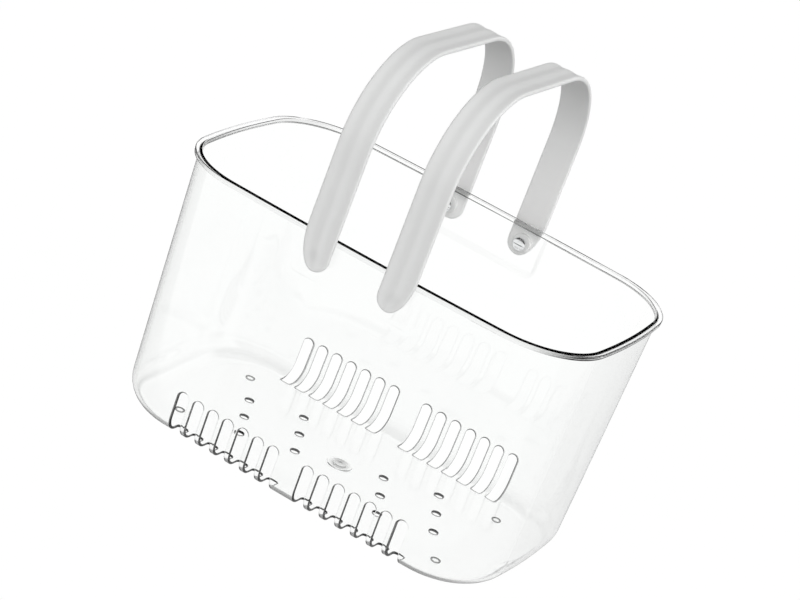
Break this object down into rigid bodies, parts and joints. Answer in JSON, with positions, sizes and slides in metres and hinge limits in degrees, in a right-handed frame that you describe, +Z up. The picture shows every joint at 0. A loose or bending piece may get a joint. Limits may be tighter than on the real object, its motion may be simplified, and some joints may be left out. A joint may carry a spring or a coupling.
{
  "type": "shower basket",
  "caption": "Clear moulded shower basket with drain slots wrapped round its lower edges, drain holes in its floor, and white strap handles that swing outwards on pivot screws.",
  "frame": {"origin": "on the surface that the feet stand on, under the middle of the tub", "axes": "+X along the tub's length to the right handle, +Y from the front wall to the back wall, +Z up"},
  "size_m": [0.305, 0.1946, 0.301],
  "materials": {
    "clear_plastic": "clear, polished in the mould",
    "white_plastic": "satin moulded",
    "bright_steel": "bright turned"
  },
  "bodies": {
    "tub": {"basket_tub": "clear_plastic"},
    "left_handle": {"handle_left": "white_plastic", "pivot_screw_left_front": "bright_steel", "pivot_screw_left_back": "bright_steel"},
    "right_handle": {"handle_right": "white_plastic", "pivot_screw_right_front": "bright_steel", "pivot_screw_right_back": "bright_steel"}
  },
  "joints": [
    {"name": "left_handle_swing", "type": "hinge", "parent": "tub", "child": "left_handle", "pos_m": [-0.0293, 0, 0.1655], "axis": [0, -1, 0], "range_deg": [-7.5, 111]},
    {"name": "right_handle_swing", "type": "hinge", "parent": "tub", "child": "right_handle", "pos_m": [0.0293, 0, 0.1655], "axis": [0, 1, 0], "range_deg": [-7.5, 111]}
  ]
}
